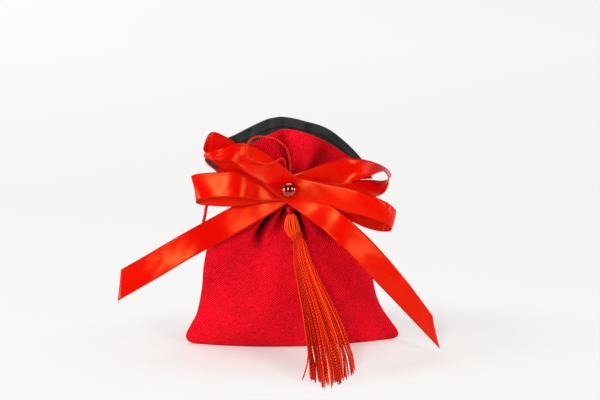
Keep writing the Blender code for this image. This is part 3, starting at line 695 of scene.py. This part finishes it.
# Fine wrinkles over the filled body
def wrinkled(rings, settings):
    flat = rings[:, :, :3].reshape(-1, 3)
    height = flat[:, 2]
    end = settings["wrinkleFade"]
    fade = np.clip(height / end, 0, 1) * np.clip((settings["neckLow"] - height) / end, 0.15, 1)
    squash = flat * np.array([1.0, 0.6, 0.55])
    field = sum(waviness(squash, size, seed) * share for size, seed, share in settings["wrinkles"])
    push = field * settings["wrinkle"] * fade
    outward = flat - np.array([0.0, settings["neckY"], 0.0])
    outward[:, 2] = 0
    outward[:, 0] *= 0.25
    moved = (flat + unit(outward) * push[:, None]).reshape(*rings.shape[:2], 3)
    return np.concatenate([moved, rings[:, :, 3:]], axis=2)


def makePouch(settings):
    turns = turnsAround(settings)
    x, y, halfX, halfY = [settings[name] for name in ("neckX", "neckY", "neckHalfWidth", "neckHalfDepth")]
    neckRows = [(height, x - halfX, x + halfX, y - halfY, y + halfY)
                for height in (settings["neckLow"], settings["neckHigh"])]
    rows = smoothRows([*settings["rows"], *neckRows], np.linspace(0, 1, settings["bodyRings"]))
    body = wrinkled(np.array([bodyRing(turns, row, settings) for row in rows]), settings)
    levels = np.linspace(0, 1, settings["collarRings"] + 1)[1:]
    top = 1.0 - settings["lip"]
    stations = [(level, 0.0) for level in levels[:-1]]
    stations += [(top, 0.0), (1.0, 0.2), (1.0, 0.8), (top, 1.0)]
    stations += [(level, 1.0) for level in levels[-2::-1] if level > settings["floor"]]
    mouth = [collarRing(turns, level, share * settings["wall"], settings) for level, share in stations]
    piece = closedCup("pouchCloth", [*body, *mouth], twill, settings)
    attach(piece, "root")
    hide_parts("bag_outer")
    print("pouch:", len(piece.data.polygons), "faces")


makePouch(pouchSettings)

# Lining: a black cup in the mouth, with a hem turned in along its rim
liningSettings = {
    "gap": 0.3, "wall": 0.5,
    "rise": 0.0095, "riseFrom": 0.8,       # how far the rim stands above the pouch's, behind
    "floor": 0.27,
    "hemFrom": 0.85, "hemWall": 0.6, "hemEdge": 0.012,
    "ripple": 0.8, "rippleSize": 6.0,
}


def makeLining(settings, pouch):
    turns = turnsAround(pouch)
    outside = pouch["wall"] + settings["gap"]
    inside = outside + settings["wall"]
    top = 1 - settings["rise"]
    lift = 2 * settings["rise"]
    levels = np.concatenate([np.linspace(settings["floor"], settings["hemFrom"] - 0.02, 26),
                             np.linspace(settings["hemFrom"] - 0.01, 0.99, 16)])

    def ring(level, inset):
        risen = max(0.0, (level - settings["riseFrom"]) / (1 - settings["riseFrom"]))
        return collarRing(turns, level, inset, pouch, lift * risen)

    rings = [ring(level, outside) for level in levels]
    for level, share in ((top - 0.008, 0.0), (top, 0.25), (top, 0.75), (top - 0.008, 1.0)):
        rings.append(ring(level, outside + share * (settings["wall"] + settings["hemWall"])))
    for level in levels[::-1]:
        hem = settings["hemWall"] * min(max((level - settings["hemFrom"]) / settings["hemEdge"], 0), 1)
        made = ring(level, inside + hem)
        flat = np.column_stack([made[:, 0], made[:, 2] * 0.6, made[:, 1]])
        push = np.clip(0.5 + 0.5 * waviness(flat, settings["rippleSize"], 41), 0, 2)
        fade = min((level - settings["floor"]) / 0.1, (1 - level) / 0.02, 1.0)
        inwards = np.sign(made[:, 1] - pouch["neckY"])
        made[:, 1] -= inwards * push * settings["ripple"] * fade * sideFade(np.cos(turns))
        rings.append(made)
    rings = np.array(rings)
    rings[:, :, 3] = 0.5
    piece = closedCup("liningCloth", rings, blackCloth, pouch)
    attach(piece, "root")
    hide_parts("bag_lining")
    print("lining:", len(piece.data.polygons), "faces")


makeLining(liningSettings, pouchSettings)

# Ribbon: upper and lower edge of each station, from the neck's front at its upper end
ribbonSettings = {
    "width": 12.0, "thickness": 0.3, "steps": 12, "across": 13,
    "origin": (-0.2, -4.9, 81.0),
    "edge": 0.12,              # how much thicker the woven edge is
    "cockle": 0.05, "cockleSize": 10.0,
    "ripple": 0.4, "rippleSize": 22.0,         # how the bulge varies along the ribbon
    "bulge": 0.35,             # how far the middle stands off the straight line between the edges
}
leftTail = (
    ((-81.0, -12.7, -35.2), (-82.9, -15.1, -49.7)),
    ((-69.1, -12.7, -28.4), (-64.3, -16.1, -38.7)),
    ((-52.5, -11.1, -19.1), (-47.7, -14.3, -29.3)),
    ((-36.7, -6.0, -11.8), (-31.4, -9.6, -22.1)),
    ((-22.3, -3.7, -4.5), (-16.9, -7.3, -14.7)),
    ((-14.4, -3.7, 0.2), (-8.9, -6.2, -10.2)),
    ((-6.4, -4.0, 5.0), (-0.7, -5.2, -5.6)),
)
upperRightLoop = (
    ((4.2, -4.7, 8.3), (8.9, -4.9, -2.7)),
    ((14.5, -4.2, 12.0), (17.7, -4.6, 0.3)),
    ((24.4, -2.6, 13.6), (26.1, -5.8, 2.4)),
    ((34.6, 0.2, 11.7), (34.4, -9.4, 6.7)),
    ((42.4, -1.8, 8.9), (40.3, -12.6, 9.5)),
    ((45.4, -1.6, 4.8), (42.8, -12.4, 5.3)),
    ((41.5, -2.4, 2.4), (40.6, -12.2, -0.7)),
    ((32.4, -4.2, 3.6), (32.5, -11.2, -4.3)),
    ((19.4, -6.9, 2.6), (19.3, -8.8, -9.0)),
    ((7.9, -5.5, 4.2), (7.2, -5.8, -7.8)),
    ((-3.2, -5.1, 6.1), (-4.0, -5.1, -6.1)),
)
lowerLeftLoop = (
    ((-15.3, -6.0, 5.6), (-15.9, -6.2, -6.5)),
    ((-28.2, -8.0, 4.9), (-28.4, -8.2, -7.2)),
    ((-39.6, -8.0, 5.1), (-39.4, -8.2, -6.6)),
    ((-45.6, -6.8, 5.6), (-44.1, -6.8, -6.3)),
    ((-47.6, -8.6, 7.5), (-45.7, -9.4, -4.6)),
    ((-44.9, -9.0, 8.8), (-43.4, -11.8, -2.7)),
    ((-37.1, -9.8, 9.6), (-36.9, -13.4, -1.4)),
    ((-26.3, -10.5, 9.8), (-26.5, -13.9, -1.5)),
    ((-15.2, -7.0, 7.3), (-15.8, -9.7, -4.4)),
    ((-2.8, -5.5, 6.0), (-4.2, -5.9, -5.9)),
)
lowerRightLoop = (
    ((9.6, -6.3, 4.1), (7.3, -6.5, -7.8)),
    ((22.1, -7.4, -0.6), (19.9, -7.8, -12.5)),
    ((35.3, -8.0, -6.7), (33.5, -8.4, -18.7)),
    ((43.3, -8.4, -9.2), (41.5, -8.8, -20.5)),
    ((46.9, -10.6, -10.3), (44.5, -12.4, -18.7)),
    ((42.5, -14.2, -5.2), (41.6, -15.6, -14.9)),
    ((32.0, -14.6, -0.1), (30.5, -14.8, -11.0)),
    ((20.7, -11.8, 2.4), (18.5, -12.0, -8.8)),
    ((8.1, -8.1, 4.5), (5.4, -8.2, -7.3)),
    ((-1.9, -6.3, 7.4), (-7.0, -6.5, -3.4)),
)
upperLeftLoop = (
    ((-18.9, -7.2, 15.4), (-26.1, -7.8, 5.5)),
    ((-25.2, -6.8, 21.0), (-32.7, -7.6, 9.6)),
    ((-31.3, -6.2, 25.2), (-37.4, -7.6, 13.4)),
    ((-37.3, -6.4, 27.7), (-40.8, -8.2, 16.4)),
    ((-40.3, -9.4, 25.0), (-41.7, -10.8, 17.3)),
    ((-41.2, -12.6, 20.0), (-39.9, -14.0, 17.0)),
    ((-33.8, -14.8, 21.5), (-36.8, -16.8, 17.2)),
    ((-23.9, -12.8, 23.7), (-29.4, -17.4, 16.2)),
    ((-15.3, -9.8, 19.4), (-22.3, -14.8, 10.0)),
    ((-7.5, -7.6, 13.2), (-14.5, -10.8, 4.1)),
)
rightTail = (                  # it starts with the top pass, which carries the bead
    ((0.1, -6.8, 6.3), (-7.1, -7.6, -3.6)),
    ((11.2, -9.0, -2.9), (3.6, -10.4, -11.2)),
    ((22.4, -14.1, -10.7), (14.4, -16.9, -18.6)),
    ((36.0, -15.5, -23.9), (26.6, -20.9, -30.3)),
    ((50.6, -16.0, -41.0), (41.8, -18.2, -47.3)),
    ((65.2, -12.8, -61.5), (69.4, -13.0, -78.7)),
)


def makeRibbon(settings):
    stations = np.array(leftTail + upperRightLoop + lowerLeftLoop + lowerRightLoop + upperLeftLoop
                        + rightTail)
    stations = stations + np.array(settings["origin"])
    upper, lower = stations[:, 0], stations[:, 1]
    count = (len(stations) - 1) * settings["steps"] + 1
    shares = np.linspace(0, 1, count)
    middle = smoothRows((upper + lower) / 2, shares)
    half = smoothRows(lower - upper, shares) / 2
    normal = unit(np.cross(np.gradient(middle, axis=0), half))
    lengths = runLengths(middle)
    across = settings["across"]
    places = np.linspace(-1, 1, across)
    bulge = settings["bulge"] * (1 - places ** 2)
    ripple = waviness(np.column_stack([lengths, lengths * 0]), settings["rippleSize"], 21)
    thick = (settings["thickness"] + settings["edge"] * (np.abs(places) > 0.9)) / 2
    rings = np.empty((count, 2 * across, 3))
    for k, place in enumerate(places):
        cockle = waviness(np.column_stack([lengths, np.full(count, place * 9)]), settings["cockleSize"], 22)
        off = bulge[k] * (1 + settings["ripple"] * ripple) + cockle * settings["cockle"]
        line = middle + half * place + normal * off[:, None]
        rings[:, k] = line + normal * thick[k]
        rings[:, 2 * across - 1 - k] = line - normal * thick[k]
    edges = np.concatenate([places, places[::-1], places[:1]]) * settings["width"] / 2
    faces, uvs = tube(lengths, edges)
    piece = makePiece("bowRibbon", rings.reshape(-1, 3), faces, satin, uvs)
    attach(piece, "root")
    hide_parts("satin_bow")
    print("ribbon: %.1f mm long" % lengths[-1])


makeRibbon(ribbonSettings)

# Bead: a ball with a thread hole from side to side
beadSettings = {"centre": (-3.3, -16.38, 82.3), "diameter": 8.0, "bore": 1.0, "segments": 64, "rings": 40}


def makeBead(settings):
    bpy.ops.object.select_all(action="DESELECT")
    bpy.ops.mesh.primitive_uv_sphere_add(segments=settings["segments"], ring_count=settings["rings"],
                                         radius=settings["diameter"] / 2 * mm,
                                         location=[value * mm for value in settings["centre"]],
                                         rotation=(0, math.pi / 2, 0))
    piece = bpy.context.object
    piece.name = piece.data.name = "roundBead"
    bpy.ops.object.transform_apply(location=True, rotation=True, scale=True)
    centre = Vector(settings["centre"]) * mm
    bpy.ops.object.mode_set(mode="EDIT")
    bpy.ops.mesh.select_all(action="DESELECT")
    bpy.ops.mesh.select_mode(type="VERT")
    bpy.ops.object.mode_set(mode="OBJECT")
    for vertex in piece.data.vertices:
        off = vertex.co - centre
        vertex.select = math.hypot(off.y, off.z) < settings["bore"] / 2 * mm
    bpy.ops.object.mode_set(mode="EDIT")
    bpy.ops.mesh.delete(type="VERT")
    bpy.ops.mesh.select_all(action="DESELECT")
    bpy.ops.mesh.select_mode(type="EDGE")
    bpy.ops.mesh.select_non_manifold()
    bpy.ops.mesh.bridge_edge_loops()
    bpy.ops.mesh.select_all(action="SELECT")
    bpy.ops.mesh.normals_make_consistent(inside=False)
    bpy.ops.object.mode_set(mode="OBJECT")
    bpy.ops.object.shade_smooth_by_angle(angle=math.radians(50))
    piece.data.materials.append(beadCoat)
    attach(piece, "root")
    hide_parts("bead")
    print("bead:", len(piece.data.polygons), "faces")


makeBead(beadSettings)

# Tassel: middle, half width and half depth of each section, from the neck's front at its upper end
tasselSettings = {
    "origin": (-0.2, -4.9, 81.0),
    "head": (
        ((-1.7, -7.6, -11.6), 1.0, 1.0),
        ((-1.7, -7.8, -12.4), 2.2, 2.2),
        ((-1.7, -8.2, -14.4), 3.1, 3.0),
        ((-1.4, -8.8, -17.0), 3.5, 3.3),
        ((-0.4, -9.5, -19.8), 3.1, 3.0),
        ((0.6, -10.2, -21.6), 2.3, 2.3),
    ),
    "skirt": (
        ((0.6, -10.2, -21.6), 1.9, 1.9),
        ((1.2, -10.8, -23.2), 2.1, 2.1),
        ((1.8, -11.8, -25.4), 2.9, 2.4),
        ((3.0, -15.2, -32.0), 3.9, 2.6),
        ((6.0, -21.2, -42.0), 5.5, 2.6),
        ((9.2, -27.4, -51.5), 7.3, 2.5),
        ((11.4, -32.6, -59.3), 8.8, 2.4),
        ((12.9, -36.8, -65.4), 9.6, 2.4),
    ),
    "tips": ((4.0, -41.3), (6.1, -40.2), (7.9, -45.3), (9.8, -49.9), (11.8, -47.7), (13.6, -49.3),
             (15.4, -46.7), (17.1, -45.3), (18.9, -42.5), (20.9, -40.1), (23.6, -35.5), (26.0, -30.7)),
    "layers": 3, "perLayer": 20, "threadRadius": 0.46, "pitch": 2.6, "step": 0.5,
    "clumps": 3.5, "clumping": (0.1, 0.35), "wander": 0.25,      # threads lean towards their neighbours
    # the head's threads get a lighter tone than the skirt's: painted light
    "skirtShade": (0.42, 0.26), "headPaintedLightTone": (0.95, 0.2),        # middle and spread of the tones
    "headThreads": 30, "headRadius": 0.42, "headPitch": 2.2, "headStep": 0.3, "headFill": (0.86, 0.05),
    "bindingTurns": 4, "bindingRadius": 0.36, "bindingOut": 0.35, "bindingPitch": 2.2,
    "knot": (-3.2, -10.6, 71.5), "knotSize": 0.62, "knotRadius": 0.5, "knotPitch": 2.4,
    "stray": ((-1.5, -0.5, 1.0), (-4.0, 1.0, 0.2)),              # one thread bends off to the left
}


def tasselAxes(rows):
    middles = np.array([row[0] for row in rows])
    down = unit(np.gradient(middles, axis=0))
    sideways = unit(np.cross(np.tile([0.0, -1.0, 0.0], (len(rows), 1)), down))
    return middles, sideways, np.cross(down, sideways), down


def skirtPaths(settings, dice):
    rows = settings["skirt"]
    middles, sideways, forward, _ = tasselAxes(rows)
    tips = np.array(settings["tips"])
    tone, toneSpread = settings["skirtShade"]
    paths, shades = [], []
    for layer in range(settings["layers"]):
        depth = 1 - 2 * layer / (settings["layers"] - 1)
        for place in range(settings["perLayer"]):
            off = -1 + 2 * (place + 0.5 * (layer % 2) + 0.25) / settings["perLayer"]
            off = float(np.clip(off + dice.normal() * 0.02, -1, 1))
            group = round(off * settings["clumps"]) / settings["clumps"]
            clump = dice.uniform(*settings["clumping"])
            wander = dice.normal(size=2) * settings["wander"]
            path = []
            for index, (_, halfWidth, halfDepth) in enumerate(rows):
                down = index / (len(rows) - 1)
                shift = off + (group - off) * clump * down
                rounding = math.sqrt(max(0.0, 1 - (0.92 * shift) ** 2))
                flat = min(1.0, index / 3)
                x = (math.sin(shift * math.pi / 2) * (1 - flat) + shift * flat) * halfWidth
                y = depth * rounding * halfDepth
                wave = math.sin(down * 9 + place) * 0.15 * down
                path.append(middles[index] + sideways[index] * (x + wave + wander[0] * down)
                            + forward[index] * (y + wander[1] * down))
            tipX, tipY = smoothRows(tips, [(off + 1) / 2])[0]
            tipX += dice.normal() * 0.7 + (group - off) * 2.0
            tipY += dice.uniform(-1.5, 3.5) + depth * -0.6
            tipZ = 0.5 + 0.35 * (depth + 1) + dice.uniform(0, 0.4) - settings["origin"][2]
            lowest = path[-1]
            tip = np.array([tipX, tipY, tipZ])
            belly = lowest * 0.35 + tip * 0.65 + np.array([0, 0, (lowest[2] - tip[2]) * 0.16])
            paths.append(np.array([*path, belly, tip]) + settings["origin"])
            shades.append(float(np.clip(tone + dice.normal() * toneSpread, 0, 1)))
    stray = paths[0].copy()
    stray[-2:] += settings["stray"]
    return [*paths, stray], [*shades, 0.6]


def makeSkirt(settings):
    dice = np.random.default_rng(31)
    paths, shades = skirtPaths(settings, dice)
    strands = []
    for path in paths:
        points, length = evenly(path, settings["step"], 500)
        away = np.linspace(0, length, len(points))
        radius = settings["threadRadius"] * np.clip(0.72 + away / 22, 0, 1)
        radius = radius * (1 - 0.5 * np.clip((away - length + 1.2) / 1.2, 0, 1))
        points[:, 2] = np.maximum(points[:, 2], radius + 0.02)
        strands.append({"points": points, "radius": radius, "plies": 2,
                        "pitch": settings["pitch"] * dice.uniform(0.9, 1.1), "phase": dice.uniform(0, 6.28)})
    piece = bundle("tasselSkirt", strands, silk, shades)
    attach(piece, "root")
    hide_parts("tassel_threads")
    print("skirt:", len(strands), "threads,", len(piece.data.polygons), "faces")


def makeHead(settings):
    dice = np.random.default_rng(32)
    rows = settings["head"]
    middles, sideways, forward, _ = tasselAxes(rows)
    (tone, toneSpread), (fill, fillSpread) = settings["headPaintedLightTone"], settings["headFill"]
    strands, shades = [], []
    for number in range(settings["headThreads"]):
        start = 2 * math.pi * number / settings["headThreads"] + dice.normal() * 0.05
        lean = dice.normal() * 0.25
        path = []
        for index, (_, halfWidth, halfDepth) in enumerate(rows):
            turn = start + lean * index / len(rows)
            grow = fill + fillSpread * dice.normal()
            path.append(middles[index] + (sideways[index] * math.cos(turn) * halfWidth
                                          + forward[index] * math.sin(turn) * halfDepth) * grow)
        points, _ = evenly(np.array(path) + settings["origin"], settings["headStep"], 300)
        strands.append({"points": points, "radius": settings["headRadius"], "plies": 2,
                        "pitch": settings["headPitch"], "phase": dice.uniform(0, 6.28)})
        # Painted light: the head's tones sit near the light end of the thread colours
        shades.append(float(np.clip(tone + dice.normal() * toneSpread, 0, 1.2)))
    piece = bundle("tasselHead", strands, silk, shades)
    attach(piece, "root")
    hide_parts("tassel_threads")


def makeBinding(settings):
    rows = settings["head"]
    middles, sideways, forward, down = tasselAxes(rows)
    middle = middles[-1] + np.array(settings["origin"])
    turns = np.linspace(0, 2 * math.pi * settings["bindingTurns"], 40 * settings["bindingTurns"])
    radius = rows[-1][1] + settings["bindingOut"]
    rise = settings["bindingRadius"] * 1.7
    points = (middle + np.outer(np.cos(turns) * radius, sideways[-1])
              + np.outer(np.sin(turns) * radius, forward[-1])
              + np.outer((turns / (2 * math.pi) - settings["bindingTurns"] / 2) * rise, down[-1]))
    thread = {"points": points, "radius": settings["bindingRadius"], "plies": 2,
              "pitch": settings["bindingPitch"]}
    piece = bundle("tasselBinding", [thread], silk, [0.5])
    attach(piece, "root")
    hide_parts("tassel_binding")


def makeKnot(settings):
    turns = np.linspace(0, 2 * math.pi, 90, endpoint=False)
    size = settings["knotSize"]
    points = np.column_stack([size * (np.sin(turns) + 1.6 * np.sin(2 * turns)) * 0.62,
                              size * np.sin(3 * turns) * 0.9,
                              size * (np.cos(turns) - 1.6 * np.cos(2 * turns)) * 0.85]) + settings["knot"]
    thread = {"points": points, "radius": settings["knotRadius"], "plies": 2,
              "pitch": settings["knotPitch"], "closed": True}
    piece = bundle("tasselKnot", [thread], silkRed)
    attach(piece, "root")
    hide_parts("tassel_knot")


makeSkirt(tasselSettings)
makeHead(tasselSettings)
makeBinding(tasselSettings)
makeKnot(tasselSettings)
print("tassel made")

# Studio: white card floor, softboxes at both sides, above and in front, and an even white surround
studioSettings = {
    "floorSize": 8.0, "floorColour": "F6F5F3",
    "fadeShape": (1.0, 2.5, 1.0), "fadeShift": (-0.02, 0.0, 0.0),        # the card ends nearer in front
    "fadeFrom": 0.06, "fadeTo": 0.16,      # metres from the object where the floor turns into backdrop
    "cardShare": 0.32,                     # share of backdrop in the floor under the object
    "surround": 0.18,                      # light of the unlit room
    "cardEnds": (-0.36, -0.16),            # metres in front where, in a mirror, the room begins
    "roomEnds": (-0.6, -0.1),              # the same in the surround, as sines of its direction
    "sweepTop": 0.06, "sweepEnds": 0.18,   # sines of the heights where the white sweep meets the room
    "aim": (0.0, 0.0, 0.05),
    "boxes": (   # place in metres, width, height, power in watts
        ((-0.76, -0.24, 0.18), 0.26, 0.26, 3.8),
        ((0.74, -0.20, 0.18), 0.21, 0.21, 1.8),
        ((-0.24, -0.78, 0.42), 0.13, 0.40, 3.5),
        ((0.55, -0.60, 0.40), 0.12, 0.40, 2.0),
        ((0.0, 0.10, 0.90), 0.80, 0.50, 3.0),
    ),
}
smoothFade = {"interpolation_type": "SMOOTHSTEP"}


# Rays that come from the camera, and those by way of a mirror or a clear body
def seenRays(tree):
    rays = addNode(tree, "LightPath").outputs
    mirrored = addNode(tree, "Math", (rays["Is Glossy Ray"], rays["Is Transmission Ray"]), "MAXIMUM")
    return rays["Is Camera Ray"], mirrored


def makeFloor(settings):
    painted, tree, shader = newMaterial("cardWhitePainted", Roughness=0.9, Specular_IOR_Level=0.1,
                                        Base_Color=settings["floorColour"])
    place = addNode(tree, "TexCoord").outputs["Object"]
    x, y, _ = addNode(tree, "SeparateXYZ", (place,)).outputs
    camera, mirrored = seenRays(tree)
    # The backdrop's glow is a little darker to the right and changes with distance behind: painted falloff
    # of light
    halfway = addNode(tree, "Math", (y, 0.5), "MULTIPLY")
    back = addNode(tree, "ValToRGB", (halfway,), stops=((0.0, "F9F8F7"), (0.14, "F5F5F4"), (0.6, "FAFAFA")))
    side = addNode(tree, "Math", (x, -0.055, 0.992), "MULTIPLY_ADD")
    lit = addNode(tree, "MapRange", (y, *settings["cardEnds"], settings["surround"]), **smoothFade)
    lit = addNode(tree, "Math", (lit, camera), "MAXIMUM")
    lit = addNode(tree, "Math", (side, lit), "MULTIPLY")
    card = addNode(tree, "Emission", {"Color": back, "Strength": lit})
    shaped = addNode(tree, "VectorMath", (place, settings["fadeShape"], settings["fadeShift"]),
                     "MULTIPLY_ADD")
    away = addNode(tree, "VectorMath", (shaped,), "LENGTH").outputs["Value"]
    fade = addNode(tree, "MapRange", (away, settings["fadeFrom"], settings["fadeTo"], settings["cardShare"]),
                   **smoothFade)
    direct = addNode(tree, "Math", (camera, mirrored), "MAXIMUM")
    share = addNode(tree, "Math", (fade, direct), "MULTIPLY")
    mixed = addNode(tree, "MixShader", (share, shader, card))
    feed(tree, tree.nodes["Material Output"], {"Surface": mixed})
    bpy.ops.object.select_all(action="DESELECT")
    bpy.ops.mesh.primitive_plane_add(size=settings["floorSize"], location=(0, 0, 0))
    floor = bpy.context.object
    floor.name = "floor"
    floor.data.materials.append(painted)


def makeSoftboxes(settings):
    for number, (place, width, height, power) in enumerate(settings["boxes"]):
        light = bpy.data.lights.new("softbox%d" % number, "AREA")
        light.shape = "RECTANGLE"
        light.size, light.size_y, light.energy = width, height, power
        box = bpy.data.objects.new("softbox%d" % number, light)
        bpy.context.collection.objects.link(box)
        box.location = place
        box.rotation_euler = (Vector(settings["aim"]) - Vector(place)).to_track_quat("-Z", "Y").to_euler()


def makeSurround(settings):
    world = bpy.data.worlds.new("surround")
    world.use_nodes = True
    tree = world.node_tree
    tree.nodes.clear()
    camera, mirrored = seenRays(tree)
    sky = addNode(tree, "TexCoord").outputs["Generated"]
    _, y, z = addNode(tree, "SeparateXYZ", (sky,)).outputs
    sweep = addNode(tree, "MapRange", (z, settings["sweepEnds"], settings["sweepTop"]), **smoothFade)
    behind = addNode(tree, "MapRange", (y, *settings["roomEnds"]), **smoothFade)
    mirrored = addNode(tree, "Math", (mirrored, behind), "MULTIPLY")
    direct = addNode(tree, "Math", (camera, mirrored), "MAXIMUM")
    direct = addNode(tree, "Math", (direct, sweep), "MULTIPLY")
    room = addNode(tree, "Background", {"Color": "FFFFFF", "Strength": settings["surround"]})
    white = addNode(tree, "Background", {"Color": "FAFAFA", "Strength": 1.0})
    addNode(tree, "OutputWorld", (addNode(tree, "MixShader", (direct, room, white)),))
    bpy.context.scene.world = world


makeFloor(studioSettings)
makeSoftboxes(studioSettings)
makeSurround(studioSettings)
bpy.context.scene.view_settings.view_transform = "Standard"
print("studio made")
